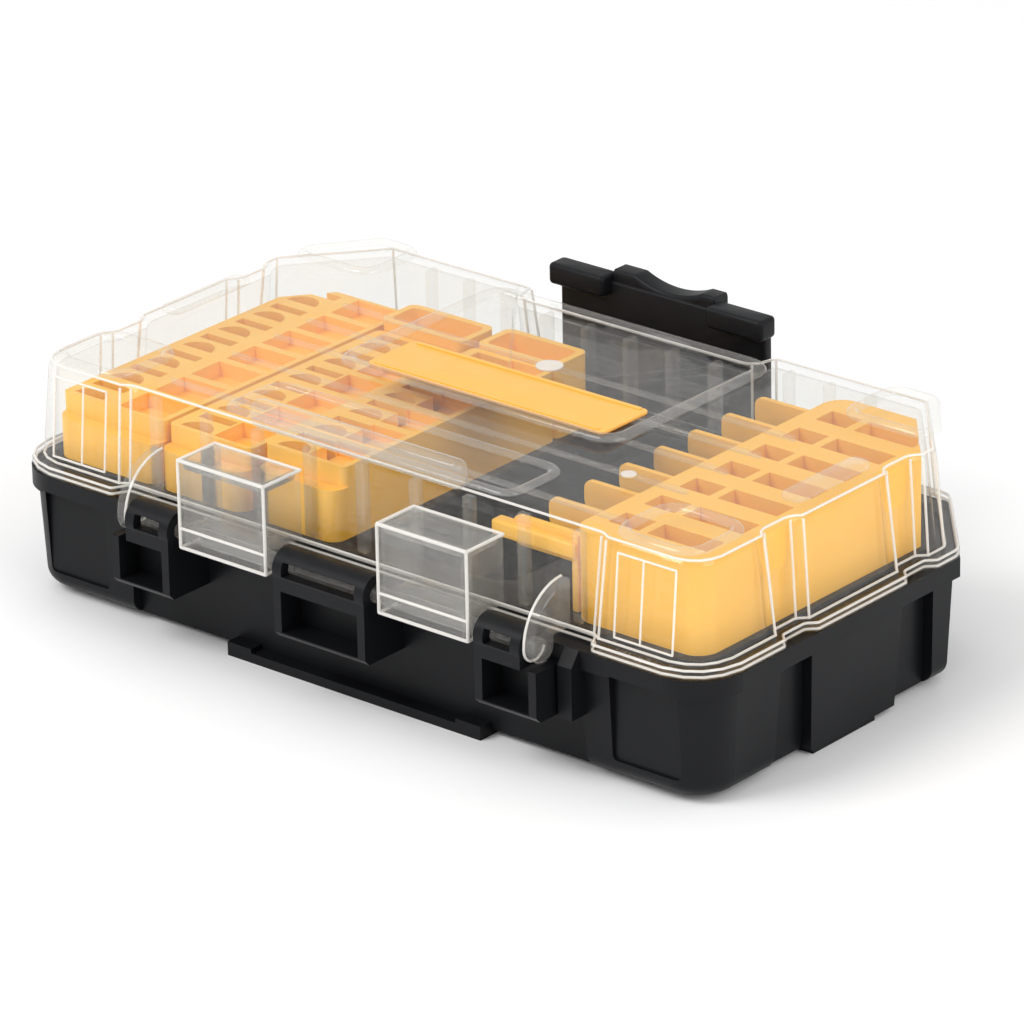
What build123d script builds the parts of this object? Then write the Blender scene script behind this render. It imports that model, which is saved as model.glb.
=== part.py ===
from build123d import *
import os

os.makedirs("parts", exist_ok=True)

# Driving dimensions, in millimetres.
# The origin is the centre of the face that the closed case rests on.
# X runs along the case, the hinge is on the -Y side and the latch on the +Y side.

# Rim and parting plane
rim_length = 230.0
rim_depth = 128.0
parting_height = 34.5
seam_gap = 0.3
front_corner_radius = 14.0
back_corner_run_x = 23.0
back_corner_run_y = 27.0
back_corner_radius = 5.0

# Base shell
wall = 2.2
lip_height = 5.0
lip_overhang = 1.6
base_draft = 3.0
base_bottom_radius = 4.5
foot_height = 1.6
tower_bulge = 3.0
front_tower_inner = 74.0
side_tower_front = -33.0
side_tower_back = 28.0
side_panel_front = -21.0
side_panel_back = 15.5
panel_recess = 1.2
floor_thickness = 2.4

# Stacking rail and feet under the base
rail_half_length = 42.0
rail_block = 8.0
rail_height = 3.8
rail_depth = 8.0
foot_length = 25.0
foot_center_y = -5.5
foot_width = 5.0

# Hinge
axis_y = -69.0
axis_z = 34.7
rod_radius = 2.2
pin_clearance = 0.05
barrel_radius = 5.0
post_front = -73.7
post_bottom = 16.5
post_frame = 2.4
centre_post_half = 15.0
side_post_inner = 50.5
side_post_outer = 65.0
cheek_inner = 71.2
cheek_outer = 75.6
window_height = 3.8

# Lid
lid_wall = 2.2
lid_inset = 3.0
flange_height = 2.4
lid_top = 64.0
lid_draft = 5.0
top_radius = 3.0
bead_height = 1.5
bead_width = 3.6
rib_width = 3.0
rib_depth = 1.3
rib_pitch = 17.4
rib_count = 9
box_inner = 18.7
box_outer = 47.4
box_front = -72.2
box_top = 55.5
box_bottom = 31.8
box_wall = 2.0
ear_inner = 65.3
ear_thickness = 3.4
ear_top = 49.5
latch_recess_half = 36.4
latch_recess_front = 53.5

# Stacking bead and bars on the lid
bead_ridge_half = 34.5
bead_ridge_top = 71.0
bead_ridge_y = -57.6
bead_ridge_radius = 2.6
tower_ring = 3.6
side_bar_x = 102.3
side_bar_width = 6.6
side_bar_length = 30.0

# Latch
latch_half = 34.0
latch_front = 61.8
latch_thickness = 3.2
latch_axis_z = 18.0
latch_top = 71.3
latch_pin_radius = 2.0
latch_lug_thickness = 5.0
latch_hook_reach = 3.5
catch_height = 50.0
catch_gap = 2.6
catch_bite = 0.5

# Racks
deck_height = 36.6
deck_thickness = 2.0
rack_inset = 8.4
rack_front = -55.6
rack_first_row = -51.5
row_pitch = 13.64
row_count = 7
left_rack_x = [(-107.0, -71.5), (-70.0, -41.5), (-37.0, -10.0)]
left_rack_top = [53.0, 53.0, 56.0]
right_rack_x = (65.0, 106.0)
right_rack_front = -54.0
right_rack_back = 52.0
right_rack_top = 60.5
finger_left = 43.0
finger_top = 57.0
finger_thickness = 1.4

# Values that follow from the ones above
half_length = rim_length / 2
half_depth = rim_depth / 2
base_top = parting_height - seam_gap / 2
lid_bottom = parting_height + seam_gap / 2
lip_bottom = base_top - lip_height
flange_top = lid_bottom + flange_height
pin_hole = rod_radius + pin_clearance

cavity_inset = lip_overhang + tower_bulge + wall
floor_top = foot_height + floor_thickness
tower_panel_x = 94.0
tower_panel_width = 21.0
tower_panel_z = 18.2
tower_panel_height = 23.5
pad_center_y = 18.5
pad_length = 86.0
pad_depth = 58.0
foot_x = half_length - lip_overhang - 4.6
rail_y = -half_depth + 1.8 + rail_depth / 2
post_back = -half_depth + lip_overhang + tower_bulge + 0.6
post_top = 30.5
recess_z = 24.3
recess_height = 12.0
recess_depth = 7.6
mouth_half = rod_radius - 0.3
cheek_front = -67.0
rim_notch_y = 60.0
latch_axis_y = latch_front + latch_thickness / 2
lug_radius = 4.0
lug_root_y = half_depth - lip_overhang - tower_bulge - 1.6
pin_half = latch_half + seam_gap + latch_lug_thickness
post_spans = [
    (-centre_post_half, centre_post_half, post_top),
    (side_post_inner, 70.0, 30.0),
    (-70.0, -side_post_inner, 30.0),
]
barrel_spans = [
    (-centre_post_half, centre_post_half),
    (side_post_inner, side_post_outer),
    (-side_post_outer, -side_post_inner),
]
lug_low = latch_half + seam_gap
lug_spans = [
    (lug_low, lug_low + latch_lug_thickness),
    (-lug_low - latch_lug_thickness, -lug_low),
]
tray_gap = 0.4
tray_wall = 1.6
well_x = 16.5
well_y = 0.0
well_length = 47.0
well_depth = 96.0
step_drop = 5.5
tray_drop = 4.0
seat_depth = 12.0
pocket_columns = [(74.75, 9.5), (91.25, 18.5)]
pocket_depth = 7.0
pocket_drop = 20.0
ring_boxes = [
    (80.0, 106.5, -58.0, -33.5),
    (-106.5, -80.0, -58.0, -33.5),
    (77.5, 103.0, 35.0, 59.0),
    (-103.0, -77.5, 35.0, 59.0),
    (-46.9, 46.9, -15.0, 51.0),
]
lid_rib_setback = 1.4
box_back = -half_depth + lid_inset + 1.0
box_low_back = axis_y + 3.6
box_spans = [(box_inner, box_outer), (-box_outer, -box_inner)]
box_profile = [
    (box_front, box_bottom),
    (box_low_back, box_bottom),
    (box_low_back, flange_top),
    (box_back, flange_top),
    (box_back + 1.0, box_top),
    (box_front, box_top),
]
box_hollow = [
    (box_front + box_wall, box_bottom - 1),
    (box_low_back, box_bottom - 1),
    (box_low_back, flange_top + 0.5),
    (-half_depth + lid_inset - 0.2, flange_top + 0.5),
    (-half_depth + lid_inset + 0.9, box_top - box_wall),
    (box_front + box_wall, box_top - box_wall),
]
ear_radius = 4.2
ear_root_y = -half_depth + lid_inset + 1.6
catch_front = 57.5
catch_spans = [(8.0, 26.0), (-26.0, -8.0)]
hook_tip = catch_front - catch_bite
shoulder_inner = 17.0
shoulder_outer = 35.5
shoulder_bottom = 65.5
shoulder_depth = 6.2
shoulder_y = 58.3 + shoulder_depth / 2
thumb_half = 14.6
thumb_depth = 5.0
thumb_y = 63.8 + thumb_depth / 2
thumb_top = 72.5


def outline(inset):
    """Rim outline moved inwards: round front corners and cut back corners."""
    x = half_length - inset
    front = -half_depth + inset
    back = half_depth - inset
    run_x = back_corner_run_x - inset * 0.4
    run_y = back_corner_run_y - inset * 0.4
    with BuildSketch() as sketch:
        with BuildLine():
            Polyline(
                (-x, front),
                (x, front),
                (x, back - run_y),
                (x - run_x, back),
                (-x + run_x, back),
                (-x, back - run_y),
                close=True,
            )
        make_face()
        corners = sketch.vertices().sort_by(Axis.Y)
        fillet(corners[:2], max(front_corner_radius - inset, 2.0))
        fillet(corners[2:], back_corner_radius)
    return sketch.sketch


# Base shell
with BuildPart() as base_shell:
    with BuildSketch(Plane.XY.offset(lip_bottom)):
        add(outline(lip_overhang))
    extrude(amount=-(lip_bottom - foot_height), taper=base_draft)
    fillet(base_shell.faces().sort_by(Axis.Z)[0].edges(), base_bottom_radius)
    # Middle stretches of the walls stand back from the corner towers
    with BuildSketch(Plane.XY.offset(lip_bottom)):
        with Locations((0, -half_depth), (0, half_depth)):
            Rectangle(2 * front_tower_inner, 2 * (lip_overhang + tower_bulge))
        side_y = (side_tower_front + side_tower_back) / 2
        with Locations((-half_length, side_y), (half_length, side_y)):
            Rectangle(
                2 * (lip_overhang + tower_bulge),
                side_tower_back - side_tower_front,
            )
    extrude(amount=-lip_bottom, taper=-base_draft, mode=Mode.SUBTRACT)
    # Raised panels in the middle of the two sides
    with BuildSketch(Plane.XY.offset(lip_bottom)):
        panel_y = (side_panel_front + side_panel_back) / 2
        panel_x = half_length - lip_overhang - tower_bulge
        with Locations((-panel_x, panel_y), (panel_x, panel_y)):
            Rectangle(2 * tower_bulge, side_panel_back - side_panel_front)
    extrude(amount=-(lip_bottom - foot_height), taper=base_draft)
    # Lip round the top
    with BuildSketch(Plane.XY.offset(lip_bottom)):
        add(outline(0))
    extrude(amount=lip_height)
    # Room for the tray and the racks
    with BuildSketch(Plane.XY.offset(base_top)):
        add(outline(cavity_inset))
    extrude(amount=-(base_top - floor_top), taper=base_draft, mode=Mode.SUBTRACT)
    # Sunk panels on the fronts of the corner towers
    with BuildSketch(Plane.XZ.offset(half_depth)):
        with Locations((-tower_panel_x, tower_panel_z), (tower_panel_x, tower_panel_z)):
            RectangleRounded(tower_panel_width, tower_panel_height, 1.5)
    extrude(amount=-(lip_overhang + panel_recess + base_draft / 4), mode=Mode.SUBTRACT)
    # Pad, rail and feet that the case stands and stacks on
    with BuildSketch():
        with Locations((0, pad_center_y)):
            RectangleRounded(pad_length, pad_depth, 6)
        with Locations((-foot_x, foot_center_y), (foot_x, foot_center_y)):
            Rectangle(foot_width, foot_length)
        with Locations((0, rail_y)):
            Rectangle(2 * rail_half_length, rail_depth)
    extrude(amount=foot_height + 1)
    with BuildSketch():
        block_x = rail_half_length - rail_block / 2
        with Locations((-block_x, rail_y), (block_x, rail_y)):
            Rectangle(rail_block, rail_depth)
    extrude(amount=rail_height)
    # Hinge posts: a box under each barrel, open at the front
    for low, high, top in post_spans:
        with BuildSketch(Plane.YZ.offset(low)):
            with BuildLine():
                Polyline(
                    (post_back, post_bottom),
                    (post_front + 1.5, post_bottom),
                    (post_front, post_bottom + 1.5),
                    (post_front, top),
                    (post_back, top),
                    close=True,
                )
            make_face()
        extrude(amount=high - low)
        with BuildSketch(Plane.XZ.offset(-post_front)):
            with Locations(((low + high) / 2, recess_z)):
                Rectangle(high - low - 2 * post_frame, recess_height)
        extrude(amount=-recess_depth, mode=Mode.SUBTRACT)
    # Barrels with a sight window in front and a snap mouth at the back
    for low, high in barrel_spans:
        with BuildSketch(Plane.YZ.offset(low)):
            with Locations((axis_y, axis_z)):
                Circle(barrel_radius)
            with Locations((axis_y, (axis_z + post_top) / 2)):
                Rectangle(2 * barrel_radius - 0.6, axis_z - post_top + 2)
        extrude(amount=high - low)
        with BuildSketch(Plane.YZ.offset(low)):
            with Locations((axis_y, axis_z)):
                Circle(pin_hole)
            with Locations((axis_y + barrel_radius / 2 + 0.1, axis_z)):
                Rectangle(barrel_radius + 0.2, 2 * mouth_half)
        extrude(amount=high - low, mode=Mode.SUBTRACT)
        with BuildSketch(Plane.XZ.offset(-axis_y + barrel_radius)):
            with Locations(((low + high) / 2, axis_z + 0.8)):
                Rectangle(high - low - 6, window_height)
        extrude(amount=-barrel_radius, mode=Mode.SUBTRACT)
    # Domed cheeks outside the two side posts
    for side in (-1, 1):
        with BuildSketch(Plane.YZ.offset(side * (cheek_inner + cheek_outer) / 2)):
            with BuildLine():
                Polyline(
                    (post_back, post_bottom),
                    (cheek_front, post_bottom),
                    (cheek_front, base_top - 4),
                    (cheek_front + 3, base_top),
                    (post_back, base_top),
                    close=True,
                )
            make_face()
        extrude(amount=(cheek_outer - cheek_inner) / 2, both=True)
    # The rim stands back behind the latch
    with BuildSketch(Plane.XY.offset(lip_bottom)):
        with Locations((0, half_depth)):
            Rectangle(2 * latch_recess_half, 2 * (half_depth - rim_notch_y))
    extrude(amount=lip_height, mode=Mode.SUBTRACT)
    # Lugs that carry the latch
    for low, high in lug_spans:
        with BuildSketch(Plane.YZ.offset(low)):
            with Locations((latch_axis_y, latch_axis_z)):
                Circle(lug_radius)
            with Locations(((latch_axis_y + lug_root_y) / 2, latch_axis_z)):
                Rectangle(latch_axis_y - lug_root_y, 2 * lug_radius)
            with Locations((latch_axis_y, latch_axis_z)):
                Circle(latch_pin_radius + pin_clearance, mode=Mode.SUBTRACT)
        extrude(amount=high - low)

# Tray that carries the racks
with BuildPart() as inner_tray:
    with BuildSketch(Plane.XY.offset(deck_height - deck_thickness)):
        add(outline(cavity_inset + tray_gap))
        with Locations((well_x, well_y)):
            RectangleRounded(well_length, well_depth, 6, mode=Mode.SUBTRACT)
        with Locations((0, half_depth)):
            Rectangle(
                2 * (latch_recess_half + lid_wall + 0.5),
                2 * (half_depth - latch_recess_front + lid_wall + 0.5),
                mode=Mode.SUBTRACT,
            )
    extrude(amount=deck_thickness)
    with BuildSketch(Plane.XY.offset(floor_top)):
        with Locations((well_x, well_y)):
            RectangleRounded(well_length + 2 * tray_wall, well_depth + 2 * tray_wall, 7)
    extrude(amount=deck_height - floor_top)
    with BuildSketch(Plane.XY.offset(floor_top + tray_wall)):
        with Locations((well_x, well_y)):
            RectangleRounded(well_length, well_depth, 6)
    extrude(amount=deck_height, mode=Mode.SUBTRACT)
    with BuildSketch(Plane.XY.offset(floor_top)):
        with Locations((-80, 0), (80, 0)):
            with GridLocations(20, 90, 2, 2):
                Rectangle(3, 8)
    extrude(amount=deck_height - deck_thickness - floor_top)


def bit_rack(x_low, x_high, top, rows):
    """Column of seats: a half-round hole and a slot on the left, a sunk tray on the right."""
    width = x_high - x_low
    middle = (x_low + x_high) / 2
    length = rows * row_pitch
    with BuildPart() as rack:
        with BuildSketch(Plane.XY.offset(deck_height)):
            with Locations((middle, rack_first_row + length / 2)):
                RectangleRounded(width, length, 2)
            add(outline(rack_inset), mode=Mode.INTERSECT)
        extrude(amount=top - deck_height)
        with BuildSketch(Plane.XY.offset(deck_height)):
            with Locations((middle, (rack_front + rack_first_row + 6) / 2)):
                RectangleRounded(width, rack_first_row + 6 - rack_front, 4)
            add(outline(rack_inset), mode=Mode.INTERSECT)
        extrude(amount=top - step_drop - deck_height)
        tray_width = width * 0.42
        for row in range(rows):
            center = rack_first_row + (row + 0.5) * row_pitch
            with BuildSketch(Plane.XY.offset(top)):
                with Locations((x_high - 1.8 - tray_width / 2, center)):
                    Rectangle(tray_width, row_pitch - 2.6)
            extrude(amount=-tray_drop, mode=Mode.SUBTRACT)
            with BuildSketch(Plane.XY.offset(top)):
                with Locations((x_low + 8.5, center + 3)):
                    Rectangle(11, 3.2)
                with BuildLine():
                    dome_y = center - 5.2
                    ThreePointArc(
                        (x_low + 3, dome_y),
                        (x_low + 8, dome_y + 4.8),
                        (x_low + 13, dome_y),
                    )
                    Line((x_low + 13, dome_y), (x_low + 3, dome_y))
                make_face()
            extrude(amount=-seat_depth, mode=Mode.SUBTRACT)
    return rack.part


left_rack = bit_rack(left_rack_x[0][0], left_rack_x[0][1], left_rack_top[0], row_count)
middle_rack = bit_rack(left_rack_x[1][0], left_rack_x[1][1], left_rack_top[1], row_count - 1)
inner_rack = bit_rack(left_rack_x[2][0], left_rack_x[2][1], left_rack_top[2], row_count - 1)


def end_block(x_low, x_high, top):
    """Open box behind a rack, with a half-round opening in its floor."""
    width = x_high - x_low
    middle = (x_low + x_high) / 2
    front = rack_first_row + (row_count - 1) * row_pitch + 0.3
    back = front + row_pitch
    with BuildPart() as block:
        with BuildSketch(Plane.XY.offset(deck_height)):
            with Locations((middle, (front + back) / 2)):
                RectangleRounded(width, back - front, 2.5)
        extrude(amount=top - deck_height)
        with BuildSketch(Plane.XY.offset(top)):
            with Locations((middle, (front + back) / 2)):
                RectangleRounded(width - 4, back - front - 4, 1.5)
        extrude(amount=-8, mode=Mode.SUBTRACT)
        with BuildSketch(Plane.XY.offset(top)):
            with BuildLine():
                ThreePointArc(
                    (middle - 9, front + 3),
                    (middle - 4, front + 9.5),
                    (middle + 1, front + 3),
                )
                Line((middle + 1, front + 3), (middle - 9, front + 3))
            make_face()
        extrude(amount=-seat_depth, mode=Mode.SUBTRACT)
    return block.part


middle_block = end_block(left_rack_x[1][0], left_rack_x[1][1], left_rack_top[1] + 3)
inner_block = end_block(left_rack_x[2][0], left_rack_x[2][1], left_rack_top[2] + 1)

# Tall rack on the right with two rows of pockets
with BuildPart() as right_rack:
    rack_middle_x = (right_rack_x[0] + right_rack_x[1]) / 2
    rack_middle_y = (right_rack_front + right_rack_back) / 2
    with BuildSketch(Plane.XY.offset(deck_height)):
        with Locations((rack_middle_x, rack_middle_y)):
            RectangleRounded(
                right_rack_x[1] - right_rack_x[0],
                right_rack_back - right_rack_front,
                6,
            )
        add(outline(rack_inset), mode=Mode.INTERSECT)
    extrude(amount=right_rack_top - deck_height)
    with BuildSketch(Plane.XY.offset(right_rack_top)):
        for column_x, column_width in pocket_columns:
            with Locations((column_x, rack_middle_y)):
                with GridLocations(1, row_pitch, 1, row_count):
                    Rectangle(column_width, pocket_depth)
    extrude(amount=-pocket_drop, mode=Mode.SUBTRACT)

# Comb of fingers on the left of the tall rack
with BuildPart() as finger_comb:
    comb_right = right_rack_x[0] - 0.2
    with BuildSketch(Plane.XY.offset(deck_height)):
        with Locations(((finger_left + comb_right) / 2, rack_middle_y)):
            Rectangle(comb_right - finger_left, right_rack_back - right_rack_front - 4)
    extrude(amount=2)
    for row in range(row_count + 1):
        finger_y = rack_middle_y + (row - row_count / 2) * row_pitch
        with BuildSketch(Plane.XZ.offset(-finger_y)):
            with BuildLine():
                Polyline(
                    (comb_right, deck_height),
                    (comb_right, finger_top),
                    (finger_left, finger_top),
                    (finger_left, finger_top - 3),
                )
                ThreePointArc(
                    (finger_left, finger_top - 3),
                    (finger_left + 4.5, finger_top - 9),
                    (finger_left + 1, deck_height),
                )
                Line((finger_left + 1, deck_height), (comb_right, deck_height))
            make_face()
        extrude(amount=finger_thickness / 2, both=True)

# Clear lid
with BuildPart() as lid:
    with BuildSketch(Plane.XY.offset(lid_bottom)):
        add(outline(0))
    extrude(amount=flange_height)
    with BuildSketch(Plane.XY.offset(lid_bottom)):
        add(outline(lid_inset))
    extrude(amount=lid_top - lid_bottom, taper=lid_draft)
    fillet(lid.faces().sort_by(Axis.Z)[-1].edges(), top_radius)
    # Room for the latch at the back
    with BuildSketch(Plane.XY.offset(lid_bottom)):
        with Locations((0, half_depth)):
            Rectangle(2 * latch_recess_half, 2 * (half_depth - rim_notch_y))
    extrude(amount=lid_top, mode=Mode.SUBTRACT)
    with BuildSketch(Plane.XY.offset(flange_top)):
        with Locations((0, half_depth)):
            Rectangle(2 * latch_recess_half, 2 * (half_depth - latch_recess_front))
    extrude(amount=lid_top, mode=Mode.SUBTRACT)
    # Inside of the lid
    with BuildSketch(Plane.XY.offset(lid_bottom)):
        add(outline(lid_inset + lid_wall))
        with Locations((0, half_depth)):
            Rectangle(
                2 * (latch_recess_half + lid_wall),
                2 * (half_depth - latch_recess_front + lid_wall),
                mode=Mode.SUBTRACT,
            )
    extrude(amount=lid_top - lid_wall - lid_bottom, taper=lid_draft, mode=Mode.SUBTRACT)
    # Raised rings on the corners, bars at the sides and the frame round the label place
    with BuildSketch(Plane.XY.offset(lid_top - 0.5)):
        for x_low, x_high, y_low, y_high in ring_boxes:
            with Locations(((x_low + x_high) / 2, (y_low + y_high) / 2)):
                RectangleRounded(x_high - x_low, y_high - y_low, 5)
                RectangleRounded(
                    x_high - x_low - 2 * bead_width,
                    y_high - y_low - 2 * bead_width,
                    2,
                    mode=Mode.SUBTRACT,
                )
        with Locations((-side_bar_x, -1), (side_bar_x, -1)):
            RectangleRounded(side_bar_width, side_bar_length, 2)
    extrude(amount=bead_height + 0.5)
    # Stacking ridge along the front
    with BuildSketch(Plane.YZ.offset(-bead_ridge_half)):
        with Locations((bead_ridge_y, bead_ridge_top - bead_ridge_radius)):
            Circle(bead_ridge_radius)
        with Locations((bead_ridge_y, (bead_ridge_top + lid_top) / 2 - 2)):
            Rectangle(2 * bead_ridge_radius, bead_ridge_top - lid_top)
    extrude(amount=2 * bead_ridge_half)
    # Ribs up the inside of the front wall
    with BuildSketch(Plane.XY.offset(flange_top)):
        with Locations((0, -half_depth + lid_inset + lid_wall + lid_rib_setback)):
            with GridLocations(rib_pitch, 1, rib_count, 1):
                Rectangle(rib_width, 2 * rib_depth)
    extrude(amount=lid_top - lid_wall - flange_top)
    # Hinge boxes: closed on top, in front and at the sides
    for low, high in box_spans:
        with BuildSketch(Plane.YZ.offset(low)):
            with BuildLine():
                Polyline(*box_profile, close=True)
            make_face()
        extrude(amount=high - low)
        with BuildSketch(Plane.YZ.offset(low + box_wall)):
            with BuildLine():
                Polyline(*box_hollow, close=True)
            make_face()
        extrude(amount=high - low - 2 * box_wall, mode=Mode.SUBTRACT)
    # Ears
    for side in (-1, 1):
        with BuildSketch(Plane.YZ.offset(side * (ear_inner + ear_thickness / 2))):
            with BuildLine():
                ear_front = axis_y - ear_radius
                ear_back = axis_y + ear_radius
                ThreePointArc(
                    (ear_root_y, ear_top),
                    (axis_y + 1.2, axis_z + 10.5),
                    (ear_front, axis_z),
                )
                ThreePointArc(
                    (ear_front, axis_z),
                    (axis_y, axis_z - ear_radius),
                    (ear_back, axis_z),
                )
                Polyline(
                    (ear_back, axis_z),
                    (ear_back, flange_top),
                    (ear_root_y, flange_top),
                    (ear_root_y, ear_top),
                )
            make_face()
        extrude(amount=ear_thickness / 2, both=True)
    # Clearance round the barrels, then the moulded hinge rod
    for low, high in barrel_spans:
        with BuildSketch(Plane.YZ.offset(low - seam_gap)):
            with Locations((axis_y, axis_z)):
                Circle(barrel_radius + 0.4)
        extrude(amount=high - low + 2 * seam_gap, mode=Mode.SUBTRACT)
    rod_half = ear_inner + ear_thickness / 2
    with BuildSketch(Plane.YZ.offset(-rod_half)):
        with Locations((axis_y, axis_z)):
            Circle(rod_radius)
    extrude(amount=2 * rod_half)
    # Catches that the latch hooks over
    for low, high in catch_spans:
        with BuildSketch(Plane.YZ.offset(low)):
            with BuildLine():
                Polyline(
                    (latch_recess_front - 0.5, catch_height),
                    (catch_front, catch_height),
                    (catch_front, catch_height - 2),
                    (latch_recess_front - 0.5, catch_height - 7),
                    close=True,
                )
            make_face()
        extrude(amount=high - low)

# Latch
with BuildPart() as latch:
    with BuildSketch(Plane.YZ.offset(-latch_half)):
        with BuildLine():
            Polyline(
                (latch_front, latch_axis_z),
                (latch_front, latch_top),
                (latch_front + latch_thickness, latch_top),
                (latch_front + latch_thickness, latch_axis_z),
                close=True,
            )
        make_face()
        with Locations((latch_axis_y, latch_axis_z)):
            Circle(latch_thickness / 2)
    extrude(amount=2 * latch_half)
    # Shoulders and thumb pad
    with BuildSketch(Plane.XY.offset(shoulder_bottom)):
        for side in (-1, 1):
            with Locations((side * (shoulder_inner + shoulder_outer) / 2, shoulder_y)):
                RectangleRounded(
                    shoulder_outer - shoulder_inner,
                    shoulder_depth,
                    1.2,
                )
    extrude(amount=latch_top - shoulder_bottom)
    with BuildSketch(Plane.XY.offset(shoulder_bottom)):
        with Locations((0, thumb_y)):
            RectangleRounded(2 * thumb_half, thumb_depth, 1.2)
    extrude(amount=thumb_top - shoulder_bottom)
    # Hooks over the lid's catches
    for low, high in catch_spans:
        with BuildSketch(Plane.YZ.offset(low)):
            with BuildLine():
                Polyline(
                    (latch_front + 1, catch_height + catch_gap),
                    (hook_tip, catch_height + catch_gap),
                    (hook_tip, catch_height + catch_gap + 1.5),
                    (latch_front + 1, catch_height + catch_gap + 6),
                    close=True,
                )
            make_face()
        extrude(amount=high - low)
    # Pins in the lugs of the base
    with BuildSketch(Plane.YZ.offset(-pin_half)):
        with Locations((latch_axis_y, latch_axis_z)):
            Circle(latch_pin_radius)
    extrude(amount=2 * pin_half)

parts = {
    "base_shell": base_shell.part,
    "inner_tray": inner_tray.part,
    "left_rack": left_rack,
    "middle_rack": middle_rack,
    "inner_rack": inner_rack,
    "middle_block": middle_block,
    "inner_block": inner_block,
    "right_rack": right_rack.part,
    "finger_comb": finger_comb.part,
    "lid": lid.part,
    "latch": latch.part,
}
for name, piece in parts.items():
    piece.label = name
    export_step(piece, f"parts/{name}.step")
    print(name, len(piece.solids()), round(piece.volume))
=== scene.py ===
# %% [markdown]
# A bit set case: a black moulded base, a clear lid that snaps onto barrels along the front,
# a latch at the back, and yellow racks on a dark tray inside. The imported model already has
# every working piece at its size and place. This lesson gives each piece the finish of its
# plastic, and remakes the lid, the latch and the comb with the thin walls, ribs and rounded
# edges that the eye expects of them.

import bmesh
import bpy
import numpy as np
from mathutils import Matrix, Vector


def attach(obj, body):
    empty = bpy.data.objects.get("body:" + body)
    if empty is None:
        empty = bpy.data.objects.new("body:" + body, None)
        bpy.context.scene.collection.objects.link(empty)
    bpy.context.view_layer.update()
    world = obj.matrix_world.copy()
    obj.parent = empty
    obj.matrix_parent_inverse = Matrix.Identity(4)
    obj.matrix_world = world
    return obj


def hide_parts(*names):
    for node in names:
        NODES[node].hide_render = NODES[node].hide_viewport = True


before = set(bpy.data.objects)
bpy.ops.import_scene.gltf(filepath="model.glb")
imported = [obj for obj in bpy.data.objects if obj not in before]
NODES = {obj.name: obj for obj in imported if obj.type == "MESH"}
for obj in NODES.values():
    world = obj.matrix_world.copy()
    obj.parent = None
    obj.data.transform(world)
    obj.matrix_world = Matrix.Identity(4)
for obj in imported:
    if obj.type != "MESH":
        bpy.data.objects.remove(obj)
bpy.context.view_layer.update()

MM = 0.001
print("nodes", sorted(NODES))

# %% [markdown]
# The photograph was taken with a long lens from the right of the hinge side and a little
# above, so parallel edges hardly converge. The camera's place and its two image directions
# were worked out from the straight edges of the rim, and the lens follows from the focal
# length in pixels.

# %% Camera
CAMERA_PLACE = np.array([1.0468, -1.2242, 0.7159])
VIEW_RIGHT = np.array([0.76512, 0.64362, -0.01832])
VIEW_UP = np.array([-0.23956, 0.31096, 0.91974])
FOCAL_PIXELS = 6873.7
IMAGE_SIDE = 1024
SENSOR = 36.0


def unit(vector):
    """The vector divided by its own length."""
    return vector / np.linalg.norm(vector)


def camera_pose(place, right, up):
    """Turns a place and two image directions into a matrix with square axes."""
    right = unit(right)
    back = unit(np.cross(right, up))
    pose = np.eye(4)
    pose[:3, 0] = right
    pose[:3, 1] = np.cross(back, right)
    pose[:3, 2] = back
    pose[:3, 3] = place
    return Matrix(pose.tolist())


lens = bpy.data.cameras.new("camera")
lens.sensor_width = SENSOR
lens.sensor_height = SENSOR
lens.lens = FOCAL_PIXELS * SENSOR / IMAGE_SIDE
lens.clip_end = 20
camera = bpy.data.objects.new("camera", lens)
bpy.context.scene.collection.objects.link(camera)
bpy.context.scene.camera = camera
camera.matrix_world = camera_pose(CAMERA_PLACE, VIEW_RIGHT, VIEW_UP)
print("lens", round(lens.lens, 1), "mm")

# %% [markdown]
# Colours are listed in sRGB, as a paint chart gives them, but a shader works with
# linear light. One function turns one into the other. A second one adds a shader node with
# its settings and its links in one line, so that a material reads from top to bottom. The
# patterns could come from image textures, but noise on real sizes needs none and never
# repeats.

# %% Colours and nodes
def linear(hex_colour):
    """sRGB hex value as linear red, green, blue and a full alpha."""
    values = [int(hex_colour[i:i + 2], 16) / 255 for i in (1, 3, 5)]
    return [v / 12.92 if v <= 0.04045 else ((v + 0.055) / 1.055) ** 2.4 for v in values] + [1.0]


def node(tree, kind, links=None, **settings):
    """Adds one node, sets its properties or input values, and links its inputs."""
    new = tree.nodes.new(kind)
    for key, value in settings.items():
        setattr(new, key, value)
    for key, source in (links or {}).items():
        socket = new.inputs[key]
        if isinstance(source, bpy.types.NodeSocket):
            tree.links.new(source, socket)
        else:
            socket.default_value = source
    return new


def new_material(name):
    """A material with its tree and its Principled shader."""
    material = bpy.data.materials.new(name)
    material.use_nodes = True
    tree = material.node_tree
    return material, tree, tree.nodes["Principled BSDF"]


def grain(tree, size, detail=2.0, stretch=(1, 1, 1)):
    """Noise on Object coordinates whose lumps are about one size, given in metres."""
    place = node(tree, "ShaderNodeTexCoord")
    scaled = node(tree, "ShaderNodeMapping", {"Vector": place.outputs["Object"], "Scale": stretch})
    return node(tree, "ShaderNodeTexNoise",
                {"Vector": scaled.outputs["Vector"], "Scale": 1 / size, "Detail": detail})


def blend(tree, factor, first, second):
    """Colour that goes from the first to the second as the factor goes from 0 to 1."""
    mix = node(tree, "ShaderNodeMix", data_type="RGBA")
    tree.links.new(factor, mix.inputs["Factor"])
    mix.inputs[6].default_value = linear(first)
    mix.inputs[7].default_value = linear(second)
    return mix.outputs[2]


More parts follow.
